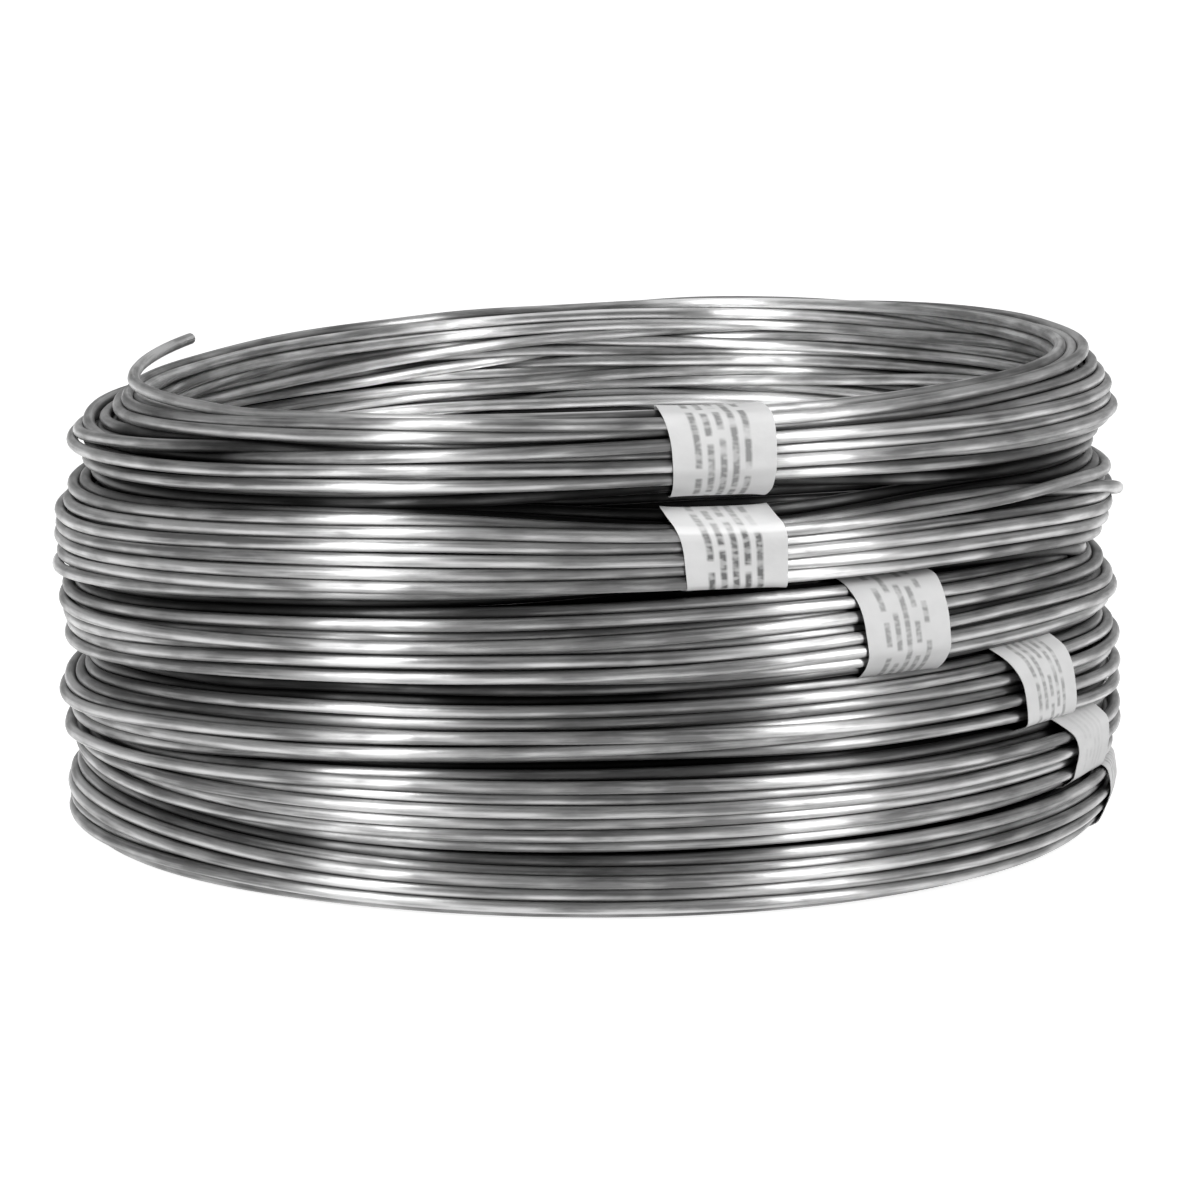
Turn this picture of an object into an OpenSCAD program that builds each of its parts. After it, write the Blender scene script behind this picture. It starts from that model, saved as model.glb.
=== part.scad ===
// Coil of galvanized wire: six bound hanks of wire lying on one another, each held by a paper
// label band, with one free wire end on top. The pile sags to the left, where the hank above the
// bottom one is pressed thin, and the top hank leans in. Millimetres, +Z up, the bottom hank's axis
// on Z, z = 0 on the floor. The front faces -Y.

/* [Wire] */
// Diameter of the wire, 12 gauge
wire_d = 2.77; // [2:0.01:4]
// How much less than a wire diameter the turns in a column are apart, as they lie staggered
nest_up = 0.13; // [0.1:0.01:0.4]
// How much less than a wire diameter the columns are apart, as they nest
nest_in = 0.39; // [0.3:0.01:0.6]
// Depth of the flats where turns bear on the next hank, the floor and the winding former
bed = 0.10; // [0.05:0.01:0.2]

/* [Coil] */
// Outside diameter over the turns
coil_od = 246; // [180:1:320]
// Turns in the middle column of a hank, which is the tallest
turns_up = 7; // [5:1:9]
// Columns of turns on each side of the middle one, each a turn shorter than the last
side_columns = 2; // [1:1:3]
// How steeply the pile on the bottom hank sags, down from the band of the hank pressed thin, in degrees
sag = 2.2; // [0.5:0.1:3]
// How far the top hank leans in over its height
top_lean = 6; // [0:0.5:7]

/* [Label bands] */
// Width of a paper band along the wire
band_w = 26; // [15:1:40]
// Thickness of the paper
band_t = 0.15; // [0.1:0.01:0.3]
// Clearance between a band and the turns that it binds
band_gap = 0.05; // [0.02:0.01:0.1]
// Angle of each band to the right of the front, from the top hank down
band_angle = [13, 14.2, 33.5, 55, 66, 80]; // [-180:0.1:180]

/* [Free end] */
// How far the free end lies on the top hank before it lifts, in degrees
end_lies = 58; // [20:1:90]
// How far it runs on after it lifts, in degrees
end_runs = 65; // [20:1:90]
// How steeply it lifts
end_lift = 2.8; // [1:0.1:8]
// How deep it beds on the turn under it
end_bed = 0.06; // [0.05:0.01:0.07]
// How far in from straight above that turn it lies, clear of the next one, in degrees
end_back = 12; // [5:1:20]
// How much thinner the lifted run is, so that it leaves the turn under it freely
end_step = 0.08; // [0.075:0.005:0.15]

/* [Hidden] */
wire_r = wire_d / 2;
pitch_up = wire_d - nest_up;
pitch_in = wire_d - nest_in;
coil_r = coil_od / 2;
mid_r = coil_r - wire_r - side_columns * pitch_in;
bore_r = mid_r - side_columns * pitch_in - wire_r + bed;
hank_h = (turns_up - 1) * pitch_up + wire_d - 2 * bed;
mid_z = hank_h / 2;
hanks = len(band_angle);
band_deg = band_w / coil_r * 180 / PI;
seat_deg = (band_w + 2 * band_gap) / coil_r * 180 / PI;
seat_depth = bed + band_t + band_gap;
front = -90;
arc_steps = 6;
thin_hank = hanks - 1;
high_side = front + band_angle[thin_hank - 1];
// From here out the high side stands clear of the bottom hank, so that its band isn't pressed
stand_r = mid_r * cos(seat_deg / 2) - wire_r / 2;
thin_z = hank_h - stand_r * sin(sag) + mid_z * cos(sag);
lie = top_turn(-side_columns, top_lean) + (wire_d - end_bed) * [-sin(end_back), cos(end_back)];
lie_from = front + band_angle[0] - seat_deg / 2;
lie_to = lie_from - end_lies;
lap_deg = 0.15;
steel = [0.72, 0.73, 0.74];
paper = [0.93, 0.93, 0.91];
wire_fn = 48;
// The turns that are cut level are many-sided, so that the cut crosses cones
cut_fn = 12;
$fn = 180;

// The height of the middle of a hank, and how far its section leans in
function hank_z(k) = k == hanks ? mid_z : thin_z + (thin_hank - k) * hank_h / cos(sag);
function lean(k) = k == 1 ? top_lean : 0;

// Turns in a column, counted from the middle one, and where each lies in a section that leans in
function column_turns(c) = turns_up - abs(c);
function turn_z(c, i) = mid_z + (i - (column_turns(c) - 1) / 2) * pitch_up;
function turn(c, i, by) =
  [mid_r + c * pitch_in - by * (turn_z(c, i) - turn_z(0, 0)) / hank_h, turn_z(c, i)];
function top_turn(c, by) = turn(c, column_turns(c) - 1, by);
function low_turn(c, by) = turn(c, 0, by);

// The six turns at the corners of a hank's section, and the way that a side between two faces
function corners(by) = [
  low_turn(side_columns, by), top_turn(side_columns, by), top_turn(0, by),
  top_turn(-side_columns, by), low_turn(-side_columns, by), low_turn(0, by)
];
function facing(from, to) = atan2(to.y - from.y, to.x - from.x) + (to.y < from.y ? 270 : -90);

// The line drawn tightly round a hank, set in by a depth
function round_hank(by, set_in) =
  let (
    at = corners(by),
    way = [for (k = [0:6]) facing(at[(k + 5) % 6], at[k % 6]) + (k == 6 ? 360 : 0)]
  )
  [
    for (k = [0:5], s = [0:arc_steps])
      let (a = way[k] + (way[k + 1] - way[k]) * s / arc_steps)
        at[k] + (wire_r - set_in) * [cos(a), sin(a)]
  ];

// Sets a hank's own pieces, made with its foot at z = 0, in its place in the pile
module in_place(k) {
  translate([0, 0, hank_z(k)])
    rotate([0, 0, high_side])
      rotate([0, k == hanks ? 0 : -sag, 0])
        rotate([0, 0, -high_side])
          translate([0, 0, -mid_z])
            children();
}

// Section through a hank: the turns that show round its outside, on a full core
module hank_section(by, round_fn) {
  intersection() {
    union() {
      polygon(corners(by));
      for (c = [-side_columns, side_columns], i = [0:column_turns(c) - 1])
        translate(turn(c, i, by))
          circle(r = wire_r, $fn = round_fn);
      for (c = [1 - side_columns:side_columns - 1]) {
        translate(top_turn(c, by))
          circle(r = wire_r, $fn = round_fn);
        translate(low_turn(c, by))
          circle(r = wire_r, $fn = round_fn);
      }
    }
    translate([bore_r - by, 0])
      square([coil_r + wire_d - bore_r + by, hank_h]);
  }
}

// The space outside the line where a band pulls the turns in
module band_seat(k) {
  rotate([0, 0, front + band_angle[k - 1] - seat_deg / 2])
    rotate_extrude(angle = seat_deg)
      difference() {
        translate([bore_r - lean(k) - wire_d, -wire_d])
          square([coil_r - bore_r + lean(k) + 2 * wire_d, hank_h + 2 * wire_d]);
        polygon(round_hank(lean(k), seat_depth));
      }
}

module wire_hank(k) {
  color(steel)
    in_place(k)
      difference() {
        rotate_extrude()
          hank_section(lean(k), k == thin_hank ? cut_fn : wire_fn);
        band_seat(k);
      }
}

// Takes off what would lie lower than the top of the bottom hank
module pressed() {
  difference() {
    children();
    translate([-coil_od, -coil_od, hank_h - coil_od])
      cube([2 * coil_od, 2 * coil_od, coil_od]);
  }
}

module label_band(k) {
  color(paper)
    in_place(k)
      rotate([0, 0, front + band_angle[k - 1] - band_deg / 2])
        rotate_extrude(angle = band_deg)
          difference() {
            polygon(round_hank(lean(k), bed));
            polygon(round_hank(lean(k), bed + band_t));
          }
}

// The free end comes from under the top band, lies on the top turn of the inner column, then lifts
module free_end() {
  color(steel)
    in_place(1) {
      rotate([0, 0, lie_to])
        rotate_extrude(angle = end_lies)
          translate(lie)
            circle(r = wire_r, $fn = wire_fn);
      translate([0, 0, lie.y])
        rotate([0, 0, lie_to])
          rotate([-end_lift, 0, 0])
            rotate([0, 0, -end_runs])
              rotate_extrude(angle = end_runs + lap_deg)
                translate([lie.x, 0])
                  circle(r = wire_r - end_step, $fn = wire_fn);
    }
}

module wire_hank_1() {
  wire_hank(1);
  free_end();
}

module wire_hank_2() {
  wire_hank(2);
}

module wire_hank_3() {
  wire_hank(3);
}

module wire_hank_4() {
  wire_hank(4);
}

module wire_hank_5() {
  pressed()
    wire_hank(5);
}

module wire_hank_6() {
  wire_hank(6);
}

module label_band_1() {
  label_band(1);
}

module label_band_2() {
  label_band(2);
}

module label_band_3() {
  label_band(3);
}

module label_band_4() {
  label_band(4);
}

module label_band_5() {
  label_band(5);
}

module label_band_6() {
  label_band(6);
}

wire_hank_1();
wire_hank_2();
wire_hank_3();
wire_hank_4();
wire_hank_5();
wire_hank_6();
label_band_1();
label_band_2();
label_band_3();
label_band_4();
label_band_5();
label_band_6();
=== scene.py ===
import math
import bpy
import numpy as np
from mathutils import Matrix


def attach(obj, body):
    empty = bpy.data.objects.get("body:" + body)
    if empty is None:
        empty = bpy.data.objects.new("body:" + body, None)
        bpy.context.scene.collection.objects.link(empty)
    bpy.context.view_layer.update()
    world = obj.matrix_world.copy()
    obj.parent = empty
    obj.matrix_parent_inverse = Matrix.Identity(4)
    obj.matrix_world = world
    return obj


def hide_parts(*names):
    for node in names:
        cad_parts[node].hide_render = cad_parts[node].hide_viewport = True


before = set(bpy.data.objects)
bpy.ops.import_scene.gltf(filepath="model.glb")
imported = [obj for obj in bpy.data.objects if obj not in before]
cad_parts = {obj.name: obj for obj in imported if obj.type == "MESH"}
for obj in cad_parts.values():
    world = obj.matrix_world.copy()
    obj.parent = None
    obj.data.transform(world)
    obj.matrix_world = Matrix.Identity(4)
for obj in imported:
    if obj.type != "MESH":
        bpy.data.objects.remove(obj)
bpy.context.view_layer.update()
scene = bpy.context.scene
scene.view_settings.view_transform = "Standard"

# camera, fitted to the rim, the floor ring and the sides of the coil

cameraFit = {"distance": 1.0346, "height": 0.21775, "pitchDown": 9.247, "yaw": 0.104, "view": 15.445}

bpy.ops.object.select_all(action="DESELECT")
bpy.ops.object.camera_add(
    location=(0, -cameraFit["distance"], cameraFit["height"]),
    rotation=(math.radians(90 - cameraFit["pitchDown"]), 0, math.radians(-cameraFit["yaw"])),
)
camera = bpy.context.object
camera.name = "photo_camera"
camera.data.sensor_fit = "HORIZONTAL"
camera.data.angle = math.radians(cameraFit["view"])
camera.data.dof.use_dof = False
scene.camera = camera
print("camera set")

# winding: every hank is one wire, laid turn by turn and pushed apart until the turns only touch

# mm and degrees; angles run to the right from the front, levels are over the floor
# and hanks count from the top
winding = {
    "wire": 2.77,
    "turns": 26,
    "steps": 72,
    "startAngle": -113.5,
    "spacing": 1.10,  # between neighbours in a bundle, in wire diameters
    "fullness": 3.2,  # 2 for round bundles, more for squarer ones
    "wander": [(1, 0.60), (2, 0.60), (3, 0.45), (5, 0.24), (9, 0.09), (14, 0.05)],
    "bore": [104.5, 107.5, 107.5, 107.5, 107.5, 107.5],  # radius that no turn of a hank reaches into
    "earlyMoves": 0.18,  # share of the turns that move across before the back
    "tuck": 9,  # steps over which an end goes in between the turns
    "rounds": 240,
    "seed": 11,
    "sides": 12,
}
# where the hanks meet, from the floor up, at each of these angles
hankKnots = [-120, -83, -60, -30, 0, 30, 60, 83, 120, 152, 180]
hankLevels = [
    [0, 0, 0, 0, 0, 0, 0, 0, 0, 0, 0],
    [17.0, 19.0, 17.0, 14.2, 14.2, 15.0, 16.0, 16.0, 16.0, 16.0, 16.0],
    [29.5, 24.5, 27.0, 31.0, 33.4, 33.6, 34.0, 31.0, 32.0, 32.0, 32.0],
    [45.0, 40.0, 43.5, 47.0, 48.0, 50.0, 52.5, 50.0, 50.0, 49.8, 49.5],
    [60.0, 57.5, 60.5, 65.0, 68.2, 71.0, 69.5, 63.5, 66.0, 66.3, 66.5],
    [83.0, 81.0, 82.5, 86.5, 88.6, 89.6, 88.5, 87.5, 88.0, 87.5, 87.0],
    [101.5, 99.5, 101.0, 105.0, 108.0, 109.0, 111.0, 112.0, 112.2, 111.4, 108.3],
]
# how far the outer turns of neighbouring hanks stand apart there, from the lowest two up
hankGaps = [
    [0.2, 0.4, 0.8, 1.4, 1.8, 1.2, 0.6, 0.2, 0, 0, 0],
    [0.2, 0.4, 0.8, 1.0, 2.2, 2.2, 0.8, 0.2, 0, 0, 0],
    [0.4, 0.6, 1.2, 1.4, 2.2, 1.8, 0.8, 0.2, 0, 0, 0],
    [0.4, 1.0, 2.8, 3.0, 3.2, 2.4, 2.0, 0.8, 0, 0, 0],
    [0.4, 0.8, 1.4, 1.6, 2.4, 2.8, 3.0, 2.0, 0.2, 0, 0],
]
# outer radius at the front and back, and how it changes with the level at the left and the right edge
outerRadius = 122.8
leftEdge = [
    (0, 123), (3.6, 124.6), (10, 123.6), (15.6, 122.6), (22, 123), (26, 124), (30.4, 125), (35, 123.5),
    (38.7, 120.7), (43, 123), (52.9, 125.6), (61.4, 127), (65.9, 127), (71.3, 126.5), (76.7, 124.7),
    (82, 121.5), (86, 122), (90.8, 123), (93.5, 119), (95.5, 112.5), (100.6, 111.6), (104.6, 108.8),
]
rightEdge = [
    (0, 120), (7, 122.5), (12, 124.2), (21.5, 124.8), (37.4, 124.6), (53.6, 123.4), (58, 121.5),
    (63, 117.8), (66, 119), (70.3, 120), (77.6, 123.7), (82, 121), (87.7, 118.1), (92, 121), (97.1, 123),
    (101.7, 121.5), (108.7, 119.8), (113, 114.5),
]
# dark gaps between the turns of a hank: level, angle, half its span, opening
looseGaps = [
    (97.0, -45, 30, 2.2), (9.5, 10, 35, 1.0), (78.5, -20, 25, 0.9), (58.0, 15, 25, 0.8),
    (40.5, -35, 25, 1.0),
]
# where every other outer turn of a hank lies deeper: hank, angle, half its span, how deep
sunkTurns = [
    (1, -66, 55, 2.6), (2, -66, 50, 2.4), (2, 60, 40, 1.2), (3, -60, 50, 2.2), (3, 60, 35, 1.2),
    (4, -66, 45, 2.0), (4, 25, 40, 1.4), (5, -45, 50, 1.8), (6, -20, 60, 1.2),
]
# single turns that have sprung out: hank, level, angle, half its span, outwards, upwards
sprungTurns = [
    (2, 77.6, 88, 34, 1.6, 0.3), (2, 61.5, -90, 38, 1.0, -0.4), (4, 31.0, -84, 30, 2.6, 0.6),
    (1, 90.8, -88, 40, 1.2, 0.0),
]
# the second hank is drawn in at the top, left of its band and under it
shoulder = {"level": 82.0, "over": 4.5, "depth": 6.0, "angle": 6, "half": 40}
bandAngles = [13, 14.2, 33.5, 55, 66, 80]
hanks = len(bandAngles)
# degrees each side over which a band draws its hank in, and how far at the top and at the foot
bandSpan = 32
bandPinch = [(0.9, 1.5), (3.4, 0.4), (0.5, 0.5), (0.4, 0.4), (0.4, 0.4), (0.3, 1.5)]
carryUp = 1.2  # how far the inner turns of the second hank reach up there, to carry the first


def aroundRing(values, angles):
    knots = np.array(hankKnots, float)
    order = np.concatenate([knots - 360, knots, knots + 360])
    rough = np.interp(np.arange(-180, 180, 5), order, np.tile(values, 3))
    for _ in range(6):
        rough = (np.roll(rough, 1) + 2 * rough + np.roll(rough, -1)) / 4
    grid = np.arange(-180, 185, 5)
    wrapped = (np.asarray(angles) + 180) % 360 - 180
    return np.interp(wrapped, grid, np.append(rough, rough[0]))


def edgeShift(level, angles):
    # how far outside or inside the usual radius a turn at this level lies, growing towards the two edges
    side = np.sin(np.radians(angles))
    leftward = np.interp(level, *zip(*leftEdge)) - outerRadius
    rightward = np.interp(level, *zip(*rightEdge)) - outerRadius
    return np.abs(side) ** 1.5 * np.where(side < 0, leftward, rightward)


def swell(angles, at, half):
    off = np.abs((angles - at + 180) % 360 - 180)
    return np.cos(np.clip(off / half, 0, 1) * np.pi / 2) ** 2


def bundleSites(count, halfWide, halfHigh, rng):
    pitch = winding["wire"] * winding["spacing"]
    offset = rng.random(2) * pitch
    sites = [(0.866 * pitch * c + offset[0], pitch * (r + 0.5 * (c % 2)) + offset[1])
             for c in range(-8, 9) for r in range(-9, 9)]
    fullness = winding["fullness"]
    sites = sorted(sites, key=lambda s: abs(s[0] / halfWide) ** fullness + abs(s[1] / halfHigh) ** fullness)
    sites = np.array(sites[:count])
    sites -= (sites.max(0) + sites.min(0)) / 2
    return sites / sites.max(0)


def layingOrder(sites, rng, byRows):
    # column by column, up one and down the next, or row by row from the top
    line = np.round(sites[:, 1] * -3.2) if byRows else np.round(sites[:, 0] * 2.4)
    walk = []
    for n, value in enumerate(np.unique(line)):
        row = np.where(line == value)[0]
        row = row[np.argsort(sites[row, 0 if byRows else 1])]
        walk += list(row if n % 2 == 0 else row[::-1])
    for k in range(len(walk) - 2):
        if rng.random() < 0.18:
            walk[k], walk[k + 2] = walk[k + 2], walk[k]
    return sites[walk]


def alongTurns(values, place):
    # smooth run through one value for each whole turn
    base = np.clip(np.floor(place).astype(int), 0, len(values) - 1)
    part = (place - base)[:, None]
    ease = part * part * (3 - 2 * part)
    after = np.clip(base + 1, 0, len(values) - 1)
    return values[base] * (1 - ease) + values[after] * ease


def stepAcross(sites, place, rng):
    # each turn keeps its place in the bundle and moves to the next one, mostly at the back
    count = winding["turns"]
    early = rng.random(count) < winding["earlyMoves"]
    earlyAt = 0.45 + 0.35 * rng.random(count)
    usualAt = 0.80 + rng.normal(0, 0.05, count)
    moveAt = np.where(early, earlyAt, usualAt)
    wide = 0.13 + 0.12 * rng.random(count)
    base = np.floor(place).astype(int)
    ease = np.clip((place - base - moveAt[base] + wide[base]) / (2 * wide[base]), 0, 1)
    ease = (ease * ease * (3 - 2 * ease))[:, None]
    return sites[base] * (1 - ease) + sites[base + 1] * ease


turns, steps, wire = winding["turns"], winding["steps"], winding["wire"]
place = np.arange(turns * steps) / steps
angle = winding["startAngle"] + 360.0 * place
turn = np.radians(angle)
rng = np.random.default_rng(winding["seed"])
levels = [aroundRing(v, angle) for v in hankLevels]
gaps = [0] + [aroundRing(v, angle) / 2 for v in hankGaps] + [0]
# how far the inner turns of neighbouring hanks reach into one another, from the floor up
meetDepth = [0, 1.1, 1.1, 1.1, 1.1, 1.9, 0]
bundleArea = turns * 0.866 * (wire * winding["spacing"]) ** 2
fullShare = 3.45  # of a bundle's half width times its half height, at this fullness
goal = np.zeros((hanks, turns * steps, 2))
bundleMiddle = np.zeros((hanks, turns * steps, 2))
bundleHalf = np.zeros((hanks, turns * steps, 2))
for k in range(hanks):
    foot, top = hanks - 1 - k, hanks - k
    low, high = levels[foot], levels[top]
    halfHigh = (high - low) / 2
    halfWide = bundleArea / fullShare / halfHigh
    sites = bundleSites(turns + 1, halfWide.mean(), halfHigh.mean(), rng)
    slot = stepAcross(layingOrder(sites, rng, k == 0), place, rng)
    wave = np.zeros((len(place), 2))
    for n, size in winding["wander"]:
        for trig in (np.cos, np.sin):
            gain = alongTurns(rng.normal(0, size, (turns + 1, 2)), place)
            wave += gain * trig(n * turn)[:, None]
    outside = np.clip((slot[:, 0] + 0.15) / 0.6, 0, 1)  # the inner turns stay closed
    inner = 1 - outside
    drawn = swell(angle, bandAngles[k], bandSpan)
    # what a band draws in goes inwards
    halfWide = bundleArea / fullShare / (halfHigh - drawn * sum(bandPinch[k]) / 2)
    # these meet the next hank under a band too
    shut = np.clip((-slot[:, 0] - 0.2) / 0.4, 0, 1) if k < 2 else inner
    apart = outside + (inner - shut) * drawn
    pinch = drawn * (1 - shut)
    meet = inner * (1 - drawn) + shut * drawn
    low = low + apart * gaps[foot] + bandPinch[k][1] * pinch - meet * meetDepth[foot]
    high = high - apart * gaps[top] - bandPinch[k][0] * pinch + meet * meetDepth[top]
    if k == 1:
        high = high + carryUp * shut * drawn
    if k == hanks - 1:
        low = low + bandPinch[k][1] * shut * drawn  # room for the paper on the floor
    halfHigh = (high - low) / 2
    level = (low + high) / 2 + halfHigh * slot[:, 1]
    # the inner turns of the lower hanks stay where they are
    moved = np.ones(len(place)) if k == 0 else np.clip(slot[:, 0] + 0.9, 0, 1)
    middle = outerRadius - halfWide + moved * edgeShift(level, angle)
    if k == 1:
        risen = np.clip((level - shoulder["level"]) / shoulder["over"], 0, 1)
        middle -= risen * shoulder["depth"] * outside * swell(angle, shoulder["angle"], shoulder["half"])
    bundleMiddle[k] = np.stack([middle, (low + high) / 2], 1)
    bundleHalf[k] = np.stack([halfWide, halfHigh], 1) - wire / 2
    goal[k] = bundleMiddle[k] + bundleHalf[k] * slot + wave * (1, 0.6)

# gaps, sunk and sprung turns, picked by where each turn lies at their middle
at = goal.reshape(hanks, turns, steps, 2)
sectionAngle = winding["startAngle"] + 360.0 * np.arange(steps) / steps
for level, middle, half, opening in looseGaps:
    s = int(round((middle - winding["startAngle"]) / 360 * steps)) % steps
    above = at[:, :, s, 1] - level
    outermost = at[:, :, s, 0].max(1, keepdims=True)
    outside = np.clip((at[:, :, s, 0] - outermost + 6.5) / 3, 0, 1)  # the inner turns stay closed
    lift = outside * np.sign(above) * np.exp(-np.abs(above) / 7) * opening / 2
    at[:, :, :, 1] += lift[:, :, None] * swell(sectionAngle, middle, half)
for hank, middle, half, depth in sunkTurns:
    s = int(round((middle - winding["startAngle"]) / 360 * steps)) % steps
    outer = np.where(at[hank - 1, :, s, 0] > at[hank - 1, :, s, 0].max() - 3.2)[0]
    every = outer[np.argsort(at[hank - 1, outer, s, 1])][1::2]
    at[hank - 1, every, :, 0] -= depth * swell(sectionAngle, middle, half)
for hank, level, middle, half, outwards, upwards in sprungTurns:
    s = int(round((middle - winding["startAngle"]) / 360 * steps)) % steps
    nearest = np.argsort(1.6 * np.abs(at[hank - 1, :, s, 1] - level) - at[hank - 1, :, s, 0])
    for loose, share in zip(nearest, (1, 0.6, 0.3)):
        away = share * swell(sectionAngle, middle, half)[:, None] * (outwards, upwards)
        at[hank - 1, loose, :, :] += away
goal = at.reshape(hanks, turns * steps, 2)

# the free end and the top turn that it runs into: angle, radius, level
topTurn = np.array([
    (-113.5, 107.0, 107.1), (-100, 106.8, 105.2), (-85, 107.0, 103.9), (-70, 108.5, 104.2),
    (-55, 110.2, 104.7), (-43, 112.0, 105.0), (-20, 115.0, 105.2), (0, 115.5, 106.4), (20, 113.5, 108.4),
    (45, 110.0, 110.8), (83, 106.4, 113.2), (120, 108.5, 113.2), (150, 112.0, 112.0), (165, 113.5, 110.4),
    (200, 115.5, 106.0), (245, 116.0, 101.8),
])
# degrees over which the top turn joins the rest, and the angle where its lifted run ends
freeEnd = {"fade": 40, "liftedTo": -45}
first = int(np.sum(angle <= topTurn[-1, 0]))
fade = np.clip((topTurn[-1, 0] - angle[:first]) / freeEnd["fade"], 0, 1)[:, None]
led = np.stack([np.interp(angle[:first], topTurn[:, 0], topTurn[:, c]) for c in (1, 2)], 1)
goal[0, :first] = goal[0, :first] * (1 - fade) + led * fade
held = np.zeros(turns * steps)
held[: int(np.sum(angle <= freeEnd["liftedTo"]))] = 1.0  # nothing pushes the lifted end

# the other ends are tucked in between the turns
tucked = np.clip(1 - np.arange(turns * steps) / winding["tuck"], 0, 1)[:, None] ** 2
for k in range(hanks):
    if k > 0:
        goal[k] += (bundleMiddle[k] - goal[k]) * tucked
    goal[k] += (bundleMiddle[k] - goal[k]) * tucked[::-1]


def easeAlong(path, passes):
    for _ in range(passes):
        path[:, 1:-1] = (path[:, :-2] + 2 * path[:, 1:-1] + path[:, 2:]) / 4
    return path


def pushApart(a, b, reach, same):
    gap = a[:, :, :, None, :] - b[:, :, None, :, :]
    far = np.sqrt((gap ** 2).sum(-1) + 1e-9)
    over = np.clip(reach - far, 0, None)
    if same:
        over *= 1 - np.eye(a.shape[2])[None, None]
    return gap * (over / far)[..., None]


def bySection(path):
    return path.reshape(hanks, turns, steps, 2).transpose(0, 2, 1, 3)


def byPath(section):
    return section.transpose(0, 2, 1, 3).reshape(hanks, turns * steps, 2)


# shares of an overlap and of a stray that each round takes back, and the longest move in a round
settling = {"push": 0.42, "room": 1.01, "longest": 0.8, "pull": 0.06, "bandPull": 0.5, "bandSpan": 30}
goal = easeAlong(goal, 3)
boreLimit = np.array(winding["bore"])[:, None] + wire / 2
tight = np.stack([
    settling["pull"] + settling["bandPull"] * swell(angle, a, settling["bandSpan"]) for a in bandAngles
])[..., None] * np.ones(2)
touching = wire * settling["room"]
shift = np.zeros_like(goal)
for n in range(winding["rounds"]):
    late = n / winding["rounds"]
    sec = bySection(goal + shift)
    move = settling["push"] * pushApart(sec, sec, touching, True).sum(3)
    across = pushApart(sec[:-1], sec[1:], touching, False)
    move[:-1] += settling["push"] * across.sum(3)
    move[1:] -= settling["push"] * across.sum(2)
    stray = goal + shift - bundleMiddle
    stray -= np.clip(stray, -bundleHalf, bundleHalf)
    step = np.clip(byPath(move), -settling["longest"], settling["longest"]) - tight * stray
    shift += step * (1 - held)[None, :, None]
    shift *= 1 - 0.05 * (1 - late) ** 2 - 0.002
    shift = 0.35 * shift + 0.65 * easeAlong(shift.copy(), 3 if late < 0.7 else 1)
    shift[:, :, 1] = np.maximum(shift[:, :, 1], wire / 2 - goal[:, :, 1])
    shift[:, :, 0] = np.maximum(shift[:, :, 0], boreLimit - goal[:, :, 0])
pos = goal + shift
sec = bySection(pos)
worst = np.sqrt((pushApart(sec, sec, wire, True) ** 2).sum(-1))
print("winding settled, overlaps in mm, deepest and 99 in 100:",
      worst.max(), np.quantile(worst.max(3), 0.99))


def finer(path):
    ends = np.concatenate([2 * path[:1] - path[1:2], path, 2 * path[-1:] - path[-2:-1]])
    middle = (9 * (ends[1:-2] + ends[2:-1]) - ends[:-3] - ends[3:]) / 16
    out = np.empty((2 * len(path) - 1, path.shape[1]))
    out[0::2] = path
    out[1::2] = middle
    return out


def inRoom(path, angles):
    spin = np.radians(angles)
    return np.stack([path[:, 0] * np.sin(spin), -path[:, 0] * np.cos(spin), path[:, 1]], 1) / 1000


def gridPiece(name, alongCount, aroundCount):
    bpy.ops.object.select_all(action="DESELECT")
    bpy.ops.mesh.primitive_grid_add(x_subdivisions=alongCount - 1, y_subdivisions=aroundCount, size=2)
    piece = bpy.context.object
    piece.name = name
    piece.data.name = name
    flat = np.empty(len(piece.data.vertices) * 3)
    piece.data.vertices.foreach_get("co", flat)
    flat = flat.reshape(-1, 3)
    column = np.rint((flat[:, 0] + 1) / 2 * (alongCount - 1)).astype(int)
    row = np.rint((flat[:, 1] + 1) / 2 * aroundCount).astype(int)
    return piece, column, row


def openShare(points, facing, centres):
    # how much of what each point of a section faces is clear of other turns
    share = np.zeros(len(points))
    tilts = np.radians([-72, -48, -24, 0, 24, 48, 72])
    gap = centres[None] - points[:, None]
    square = (gap ** 2).sum(-1)
    for tilt in tilts:
        c, s = np.cos(tilt), np.sin(tilt)
        way = np.stack([c * facing[:, 0] - s * facing[:, 1], s * facing[:, 0] + c * facing[:, 1]], 1)
        ahead = (gap * way[:, None]).sum(-1)
        hit = (ahead > 0) & (square - ahead ** 2 < (wire / 2) ** 2)
        share += c * ~hit.any(1)
    return share / np.cos(tilts).sum()


def buried(centres):
    # how far each turn of a section lies behind those that show outside, in the bore and on top
    apart = np.abs(centres[:, None] - centres[None])
    level = apart[:, :, 1] < 6.5
    out = np.where(level, centres[None, :, 0], 0).max(1) - centres[:, 0]
    back = centres[:, 0] - np.where(level, centres[None, :, 0], 999).min(1)
    top = np.where(apart[:, :, 0] < 3, centres[None, :, 1], 0).max(1) - centres[:, 1]
    return out[:, None], back[:, None], top[:, None]


def storeOnPoints(piece, name, values):
    piece.data.attributes.new(name, "FLOAT", "POINT").data.foreach_set("value", values)


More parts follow.
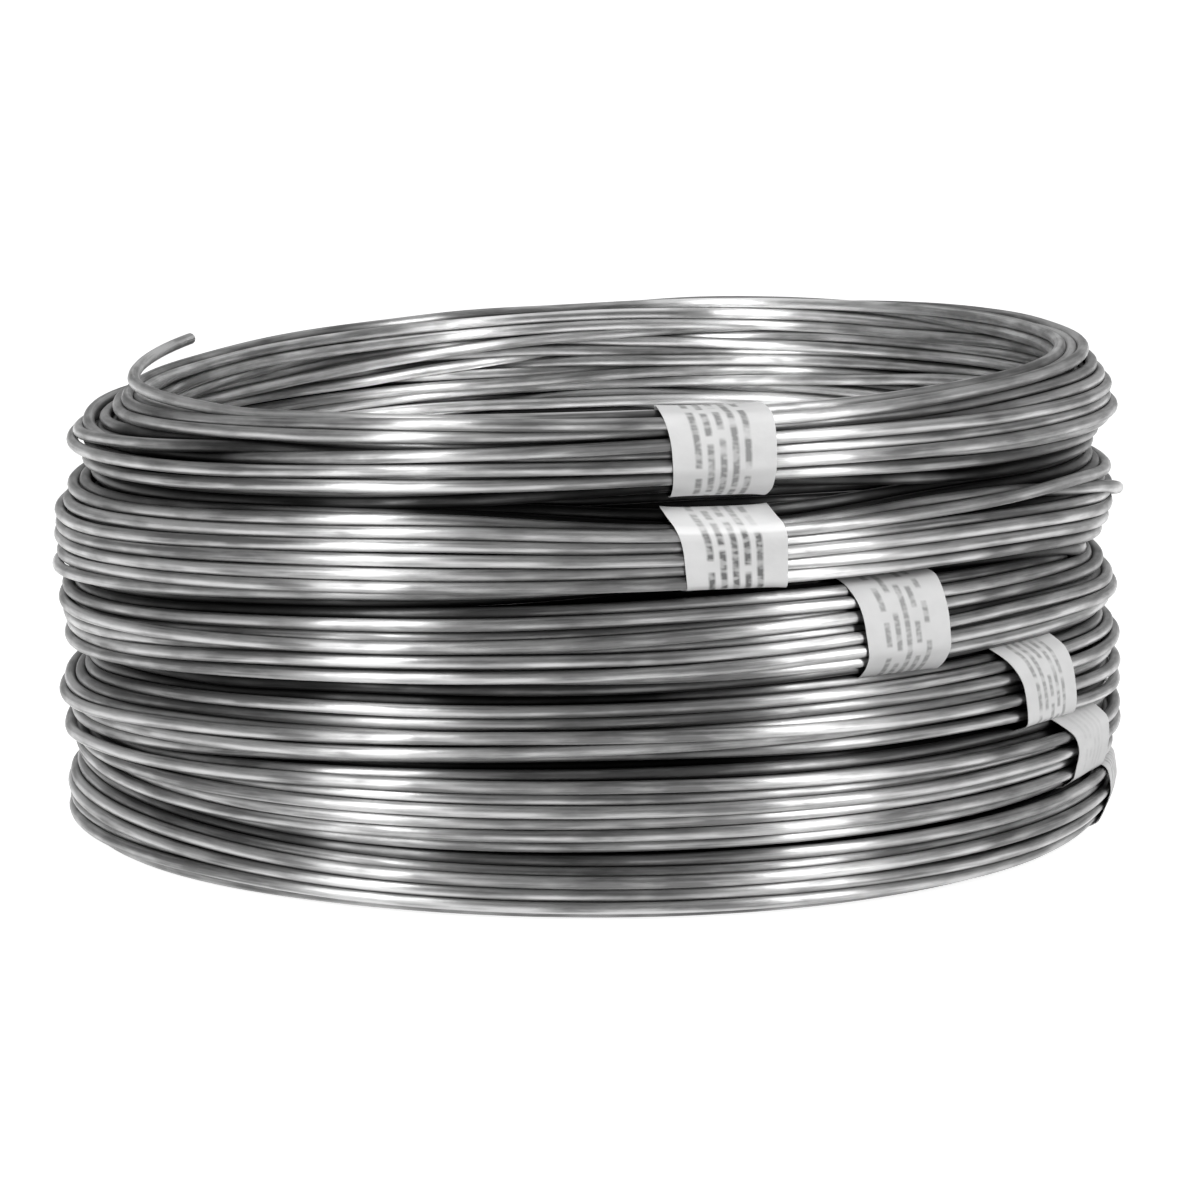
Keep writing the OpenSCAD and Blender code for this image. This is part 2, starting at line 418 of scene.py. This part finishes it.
def wirePiece(name, centre, radius, sides, clear):
    run = np.gradient(centre, axis=0)
    run /= np.linalg.norm(run, axis=1)[:, None]
    inward = centre * (-1, -1, 0)
    inward -= run * (inward * run).sum(1)[:, None]
    inward /= np.linalg.norm(inward, axis=1)[:, None]
    up = np.cross(run, inward)
    piece, column, row = gridPiece(name, len(centre), sides)
    spin = 2 * np.pi * (row % sides) / sides
    outwards = np.cos(spin)[:, None] * inward[column] + np.sin(spin)[:, None] * up[column]
    skin = centre[column] + radius * outwards
    piece.data.vertices.foreach_set("co", skin.ravel())
    piece.data.update()
    # the 'clear' attribute carries painted shade and painted bore light into the zinc's colour
    storeOnPoints(piece, "clear", clear[column, row % sides])
    bpy.ops.object.mode_set(mode="EDIT")
    bpy.ops.mesh.select_all(action="SELECT")
    bpy.ops.mesh.remove_doubles(threshold=0.00001)
    bpy.ops.mesh.fill_holes(sides=sides)
    bpy.ops.mesh.select_all(action="SELECT")
    bpy.ops.mesh.normals_make_consistent(inside=False)
    bpy.ops.object.mode_set(mode="OBJECT")
    bpy.ops.object.shade_smooth_by_angle(angle=math.radians(50))
    return piece


# painted shade and painted light in the zinc's colour: how much darker it is painted in nooks between turns
# and on turns that lie behind others, and how much brighter it is painted in the bore; depths in mm
paintedShadeAmounts = {
    "nook": 0.62, "openNook": 0.55, "buried": 0.92, "buriedFrom": 1.6, "buriedOver": 2.8,
    "bore": 0.65, "boreDepth": 4.5, "boreFade": 2, "boreAllowance": 1.5,
}
sides = winding["sides"]
around = 2 * np.pi * np.arange(sides) / sides
facing = np.stack([-np.cos(around), np.sin(around)], 1)
outward, inward = np.clip(2 * facing[:, 0], 0, 1), np.clip(-2 * facing[:, 0], 0, 1)
clear = np.zeros((hanks, turns, steps, sides))
for s in range(steps):
    centres = sec[:, s].reshape(-1, 2).astype(np.float32)
    points = (centres[:, None] + wire / 2 * facing[None]).reshape(-1, 2).astype(np.float32)
    share = openShare(points, np.tile(facing, (len(centres), 1)), centres)
    # painted shade in nooks, where neighbouring turns block what a point faces
    nook = 1 - paintedShadeAmounts["nook"] * (1 - np.clip(share / paintedShadeAmounts["openNook"], 0, 1))
    out, back, top = buried(centres)
    behind = back - paintedShadeAmounts["boreAllowance"]
    hidden = outward * np.minimum(out, top) + inward * np.minimum(behind, top)
    hidden += (1 - outward - inward) * np.minimum(np.minimum(out, behind), top)
    # painted shade on turns that lie behind the outer ones
    deep = 1 - paintedShadeAmounts["buried"] * np.clip((hidden - paintedShadeAmounts["buriedFrom"]) / paintedShadeAmounts["buriedOver"], 0, 1)
    inBore = np.clip((paintedShadeAmounts["boreDepth"] - back) / paintedShadeAmounts["boreFade"], 0, 1)
    # painted light: turns facing the bore are painted brighter
    deep *= 1 + paintedShadeAmounts["bore"] * inBore * (1 - outward)
    clear[:, :, s] = nook.reshape(hanks, turns, sides) * deep.reshape(hanks, turns, sides)
clear = clear.reshape(hanks, turns * steps, sides)

hankPieces = []
fineAngle = finer(angle[:, None])[:, 0]
for k in range(hanks):
    centre = inRoom(finer(pos[k]), fineAngle)
    hank = wirePiece("wound_wire_%d" % (k + 1), centre, wire / 2000, sides, finer(clear[k]))
    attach(hank, "root")
    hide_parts("wire_hank_%d" % (k + 1))
    hankPieces.append(hank)
print("wound wires made", sum(len(h.data.polygons) for h in hankPieces), "faces")

# paper bands, drawn tight round the turns that they bind

paperBand = {
    "width": 22.5, "radius": 123.0, "clear": 0.12, "thick": 0.15, "around": 96, "across": 16, "lap": 9.0,
    "lean": [1.2, 1.7, 1.9, 3.2, 3.4, 0.5],  # degrees that the left edge of each runs out at the top
    "soft": [51, 9, 51, 51, 31, 51],  # how rounded the folds of each are
    "fold": 81.6,  # level of the sharp fold in the second one
    "round": 0.95,  # share of the way to clear every turn with a rounded line
    "flare": 0.5,  # how far its edges stand off the turns
    "seed": 5,
    "ink": [0.75, 1.0, 0.65, 0.6, 0.12, 0.4],  # how dark the print of each is
}


def tightLine(points, clear, soft):
    spin = np.linspace(0, 2 * np.pi, 721)[:-1]
    way = np.stack([np.cos(spin), np.sin(spin)], 1)
    reach = (points @ way.T).max(0) + clear
    window = np.hanning(soft) / np.hanning(soft).sum()
    blur = np.convolve(np.tile(reach, 3), window, "same")[720:1440]
    reach = blur + (reach - blur).max() * paperBand["round"]
    slope = (np.roll(reach, -1) - np.roll(reach, 1)) / (2 * (spin[1] - spin[0]))
    return reach[:, None] * way + slope[:, None] * np.stack([-way[:, 1], way[:, 0]], 1)


rng = np.random.default_rng(paperBand["seed"])
bandPieces = []
for k in range(hanks):
    middleAngle = bandAngles[k]
    halfAngle = np.degrees(paperBand["width"] / 2 / paperBand["radius"])
    sections = bySection(pos)[k]
    near = np.concatenate([
        sections[int(round((a - winding["startAngle"]) / 360 * steps)) % steps]
        for a in (middleAngle - 5, middleAngle, middleAngle + 5)
    ])
    # an innermost turn between the two highest hanks is missed by both of their bands
    inside = near[:, 0] < near[:, 0].mean() - 1.5
    if k == 0:
        near = near[~(inside & (near[:, 1] < near[~inside, 1].min() - 0.3))]
    if k == 1:
        near = near[~(inside & (near[:, 1] > near[~inside, 1].max() + 0.3))]
    if k == 1:
        near = np.vstack([near, (near[:, 0].max() + 0.3, paperBand["fold"])])
    line = tightLine(near, wire / 2 + paperBand["clear"], paperBand["soft"][k])
    length = np.concatenate([[0], np.cumsum(np.linalg.norm(np.diff(line, axis=0), axis=1))])
    girth = length[-1] + np.linalg.norm(line[0] - line[-1])
    # the ends lap on the bore side
    wanted = girth / 2 + np.linspace(0, girth + paperBand["lap"], paperBand["around"] + 1)
    loop = np.vstack([line, line[:1]])
    strip = np.stack([np.interp(wanted % girth, np.append(length, girth), loop[:, c]) for c in (0, 1)], 1)
    middle = near.mean(0)
    outward = strip - middle
    outward /= np.linalg.norm(outward, axis=1)[:, None]
    strip += outward * (np.clip((wanted - wanted[0] - girth + 3) / 3, 0, 1) * 0.25)[:, None]
    piece, column, row = gridPiece("paper_band_%d" % (k + 1), paperBand["around"] + 1, paperBand["across"])
    sideways = row / paperBand["across"] * 2 - 1
    crinkle = np.zeros(len(row))
    for n in (2, 3, 5, 7):
        phase = rng.random(4) * 2 * np.pi
        for side in (-1, 1):
            rise = 1 + np.sin(2 * np.pi * n * column / paperBand["around"] + phase[side])
            crinkle += np.where(sideways * side > 0, np.abs(sideways) ** 5 * rise / 8, 0)
    radiusHeight = strip[column] + outward[column] * (paperBand["flare"] * crinkle)[:, None]
    rise = (strip[column, 1] - middle[1]) / (np.ptp(strip[:, 1]) / 2)
    lean = -paperBand["lean"][k] * (0.3 * rise + 0.7 * np.clip(rise, 0, 1) ** 2) * (0.62 - 0.38 * sideways)
    skin = inRoom(radiusHeight, middleAngle + halfAngle * sideways + lean)
    # the strip laid out flat in mm, each band a stretch further along the same print
    laidOut = np.stack([(wanted - wanted[0])[column] + 90 * k, (sideways + 1) / 2 * paperBand["width"]], 1)
    corner = np.empty(len(piece.data.loops), dtype=np.int32)
    piece.data.loops.foreach_get("vertex_index", corner)
    piece.data.uv_layers.active.data.foreach_set("uv", laidOut[corner].ravel())
    ink, pale = np.full(len(row), paperBand["ink"][k]), np.zeros(len(row))
    # painted light: above its fold, where it faces up, the second band is painted paler and its print is
    # half as dark
    if k == 1:
        above = strip[column, 1] > paperBand["fold"] + 1
        ink[above] *= 0.5
        pale[above] = 0.2
    storeOnPoints(piece, "pale", pale)
    storeOnPoints(piece, "ink", ink)
    piece.data.vertices.foreach_set("co", skin.ravel())
    piece.data.update()
    thick = piece.modifiers.new("paper", "SOLIDIFY")
    thick.thickness = paperBand["thick"] / 1000
    thick.offset = 0
    bpy.ops.object.modifier_apply(modifier="paper")
    bpy.ops.object.shade_smooth_by_angle(angle=math.radians(40))
    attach(piece, "root")
    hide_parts("label_band_%d" % (k + 1))
    bandPieces.append(piece)
print("paper bands made")

# finishes


def newFinish(name):
    finish = bpy.data.materials.new(name)
    finish.use_nodes = True
    nodes, links = finish.node_tree.nodes, finish.node_tree.links
    nodes.clear()
    out = nodes.new("ShaderNodeOutputMaterial")
    skin = nodes.new("ShaderNodeBsdfPrincipled")
    links.new(skin.outputs["BSDF"], out.inputs["Surface"])
    return finish, nodes, links, skin


def mathNode(nodes, links, operation, first, second):
    node = nodes.new("ShaderNodeMath")
    node.operation = operation
    for k, value in enumerate((first, second)):
        if isinstance(value, (int, float)):
            node.inputs[k].default_value = value
        else:
            links.new(value, node.inputs[k])
    return node.outputs[0]


def patternNode(nodes, links, where, stretch, detail):
    spread = nodes.new("ShaderNodeMapping")
    spread.inputs["Scale"].default_value = stretch
    pattern = nodes.new("ShaderNodeTexNoise")
    pattern.inputs["Scale"].default_value = 1.0
    pattern.inputs["Detail"].default_value = detail
    links.new(where, spread.inputs["Vector"])
    links.new(spread.outputs["Vector"], pattern.inputs["Vector"])
    return pattern.outputs["Fac"]


def rangeNode(nodes, links, value, low, high, toLow, toHigh):
    node = nodes.new("ShaderNodeMapRange")
    for k, number in enumerate((low, high, toLow, toHigh)):
        node.inputs[k + 1].default_value = number
    links.new(value, node.inputs[0])
    return node.outputs[0]


zincCoat = {
    "length": 2 * math.pi * 116 * turns,  # of one wire, mm
    "streaks": (0.016, 1.0, 1.0), "mottle": (0.07, 0.40, 0.40), "grain": (1.1, 2.2, 2.2),
    "dull": 0.21, "bright": 0.60, "smooth": 0.32, "rough": 0.46, "bump": 0.00006,
    "bends": (0.035, 0.12, 0.12), "bent": 0.0008,
}
zinc, nodes, links, skin = newFinish("bright_zinc_wire")
skin.inputs["Metallic"].default_value = 1.0
# drawn lines along the wire spread the light round it
skin.inputs["Anisotropic"].default_value = 0.9
skin.inputs["Anisotropic Rotation"].default_value = 0.25
lengthways = nodes.new("ShaderNodeTangent")
lengthways.direction_type = "UV_MAP"
lengthways.uv_map = "UVMap"
links.new(lengthways.outputs["Tangent"], skin.inputs["Tangent"])
# the wire laid out straight, in mm, so that patterns run along it and close round it
laid = nodes.new("ShaderNodeUVMap")
laid.uv_map = "UVMap"
parts = nodes.new("ShaderNodeSeparateXYZ")
links.new(laid.outputs["UV"], parts.inputs[0])
spun = mathNode(nodes, links, "MULTIPLY", parts.outputs["Y"], 2 * math.pi)
straight = nodes.new("ShaderNodeCombineXYZ")
links.new(mathNode(nodes, links, "MULTIPLY", parts.outputs["X"], zincCoat["length"]), straight.inputs["X"])
links.new(mathNode(nodes, links, "COSINE", spun, 0), straight.inputs["Y"])
links.new(mathNode(nodes, links, "SINE", spun, 0), straight.inputs["Z"])
streaks = patternNode(nodes, links, straight.outputs[0], zincCoat["streaks"], 3)
mottle = patternNode(nodes, links, straight.outputs[0], zincCoat["mottle"], 4)
grain = patternNode(nodes, links, straight.outputs[0], zincCoat["grain"], 2)
blend = mathNode(nodes, links, "ADD", mathNode(nodes, links, "MULTIPLY", streaks, 0.6),
                 mathNode(nodes, links, "MULTIPLY", mottle, 0.4))
tone = rangeNode(nodes, links, blend, 0.41, 0.59, zincCoat["dull"], zincCoat["bright"])
# painted shade between and behind turns and painted light in the bore, multiplied into the zinc's colour
paintedShadeAttribute = nodes.new("ShaderNodeAttribute")
paintedShadeAttribute.attribute_name = "clear"
links.new(mathNode(nodes, links, "MULTIPLY", tone, paintedShadeAttribute.outputs["Fac"]), skin.inputs["Base Color"])
roughness = rangeNode(nodes, links, mottle, 0.34, 0.66, zincCoat["rough"], zincCoat["smooth"])
links.new(roughness, skin.inputs["Roughness"])
bends = patternNode(nodes, links, straight.outputs[0], zincCoat["bends"], 1)
bent = nodes.new("ShaderNodeBump")
bent.inputs["Strength"].default_value = 1.0
bent.inputs["Distance"].default_value = zincCoat["bent"]
links.new(bends, bent.inputs["Height"])
relief = nodes.new("ShaderNodeBump")
relief.inputs["Strength"].default_value = 0.6
relief.inputs["Distance"].default_value = zincCoat["bump"]
height = mathNode(nodes, links, "ADD", blend, mathNode(nodes, links, "MULTIPLY", grain, 0.3))
links.new(height, relief.inputs["Height"])
links.new(bent.outputs["Normal"], relief.inputs["Normal"])
links.new(relief.outputs["Normal"], skin.inputs["Normal"])
for hank in hankPieces:
    hank.data.materials.append(zinc)

# plain rows of grey dashes along the strip, with a blank margin each side
labelPrint = {
    "margin": 4.2, "pitch": 2.7, "rows": 5, "paper": 0.72, "dark": 0.14,
    "words": (0.26, 1.0, 1.0), "letters": (0.75, 0.35, 1.0),
    "creases": (0.16, 0.09, 1.0), "fibres": (1.6, 1.6, 1.0), "bump": 0.0005,
}
paper, nodes, links, skin = newFinish("white_label_paper")
skin.inputs["Roughness"].default_value = 0.6
laid = nodes.new("ShaderNodeUVMap")
laid.uv_map = "UVMap"
parts = nodes.new("ShaderNodeSeparateXYZ")
links.new(laid.outputs["UV"], parts.inputs[0])
fromEdge = mathNode(nodes, links, "SUBTRACT", parts.outputs["Y"], labelPrint["margin"])
rowPlace = mathNode(nodes, links, "DIVIDE", fromEdge, labelPrint["pitch"])
rowNumber = mathNode(nodes, links, "FLOOR", rowPlace, 0)
inRow = mathNode(nodes, links, "FRACT", rowPlace, 0)
offMiddle = mathNode(nodes, links, "ABSOLUTE", mathNode(nodes, links, "SUBTRACT", inRow, 0.5), 0)
onRow = rangeNode(nodes, links, offMiddle, 0.16, 0.36, 1, 0)
firstOn = mathNode(nodes, links, "GREATER_THAN", rowNumber, -0.5)
lastOn = mathNode(nodes, links, "LESS_THAN", rowNumber, labelPrint["rows"] - 0.5)
byRow = nodes.new("ShaderNodeCombineXYZ")
links.new(parts.outputs["X"], byRow.inputs["X"])
links.new(mathNode(nodes, links, "MULTIPLY", rowNumber, 7.3), byRow.inputs["Y"])
wordNoise = patternNode(nodes, links, byRow.outputs[0], labelPrint["words"], 0)
words = rangeNode(nodes, links, wordNoise, 0.36, 0.44, 0, 1)
letterNoise = patternNode(nodes, links, laid.outputs["UV"], labelPrint["letters"], 1)
letters = rangeNode(nodes, links, letterNoise, 0.38, 0.56, 0.45, 1)
inkShare = nodes.new("ShaderNodeAttribute")
inkShare.attribute_name = "ink"
printed = inkShare.outputs["Fac"]
for factor in (onRow, firstOn, lastOn, words, letters):
    printed = mathNode(nodes, links, "MULTIPLY", printed, factor)
creases = patternNode(nodes, links, laid.outputs["UV"], labelPrint["creases"], 4)
fibres = patternNode(nodes, links, laid.outputs["UV"], labelPrint["fibres"], 2)
blank = rangeNode(nodes, links, creases, 0.3, 0.7, labelPrint["paper"] - 0.05, labelPrint["paper"] + 0.03)
# painted light on the second band above its fold, added to the paper's colour
paintedFoldLight = nodes.new("ShaderNodeAttribute")
paintedFoldLight.attribute_name = "pale"
blank = mathNode(nodes, links, "ADD", blank, paintedFoldLight.outputs["Fac"])
inked = nodes.new("ShaderNodeMix")
inked.data_type = "FLOAT"
links.new(printed, inked.inputs[0])
links.new(blank, inked.inputs[2])
inked.inputs[3].default_value = labelPrint["dark"]
links.new(inked.outputs[0], skin.inputs["Base Color"])
relief = nodes.new("ShaderNodeBump")
relief.inputs["Strength"].default_value = 0.5
relief.inputs["Distance"].default_value = labelPrint["bump"]
height = mathNode(nodes, links, "ADD", creases, mathNode(nodes, links, "MULTIPLY", fibres, 0.06))
links.new(height, relief.inputs["Height"])
links.new(relief.outputs["Normal"], skin.inputs["Normal"])
for piece in bandPieces:
    piece.data.materials.append(paper)
print("finishes set")

# white sweep and two tall soft lights, one each side of the camera

sweep = {"size": 40, "colour": 0.45, "glow": 0.88}
bpy.ops.object.select_all(action="DESELECT")
bpy.ops.mesh.primitive_plane_add(size=sweep["size"])
floor = bpy.context.object
floor.name = "white_floor"
white, nodes, links, skin = newFinish("white_floor")
skin.inputs["Base Color"].default_value = (sweep["colour"], sweep["colour"], sweep["colour"], 1)
skin.inputs["Roughness"].default_value = 0.9
skin.inputs["Emission Color"].default_value = (1, 1, 1, 1)
path = nodes.new("ShaderNodeLightPath")
seen = mathNode(nodes, links, "MAXIMUM", path.outputs["Is Camera Ray"], path.outputs["Is Glossy Ray"])
seen = mathNode(nodes, links, "MAXIMUM", seen, path.outputs["Is Transmission Ray"])
links.new(mathNode(nodes, links, "MULTIPLY", seen, sweep["glow"]), skin.inputs["Emission Strength"])
floor.data.materials.append(white)

lightBoxes = {"away": 0.90, "height": 0.50, "width": 0.25, "tall": 0.90, "power": 5.9}
for name, side in (("left_box", -47), ("right_box", 47.5)):
    spin = math.radians(side)
    spot = (lightBoxes["away"] * math.sin(spin), -lightBoxes["away"] * math.cos(spin), lightBoxes["height"])
    bpy.ops.object.light_add(type="AREA", location=spot, rotation=(math.pi / 2, 0, spin))
    box = bpy.context.object
    box.name = name
    box.data.shape = "RECTANGLE"
    box.data.size = lightBoxes["width"]
    box.data.size_y = lightBoxes["tall"]
    box.data.energy = lightBoxes["power"]
    box.visible_camera = False

# a pale room that is dark behind the camera, with some light from overhead
room = {"dark": 0.03, "pale": 0.42, "overhead": 0.55}
world = bpy.data.worlds.new("studio")
scene.world = world
world.use_nodes = True
nodes, links = world.node_tree.nodes, world.node_tree.links
nodes.clear()
out = nodes.new("ShaderNodeOutputWorld")
sky = nodes.new("ShaderNodeBackground")
sky.inputs["Color"].default_value = (1, 1, 1, 1)
way = nodes.new("ShaderNodeTexCoord")
parts = nodes.new("ShaderNodeSeparateXYZ")
links.new(way.outputs["Generated"], parts.inputs[0])
walls = rangeNode(nodes, links, parts.outputs["Y"], -0.9, 0.4, room["dark"], room["pale"])
overhead = rangeNode(nodes, links, parts.outputs["Z"], 0.55, 1.0, 0.0, room["overhead"])
links.new(mathNode(nodes, links, "ADD", walls, overhead), sky.inputs["Strength"])
links.new(sky.outputs["Background"], out.inputs["Surface"])
print("stage lit")
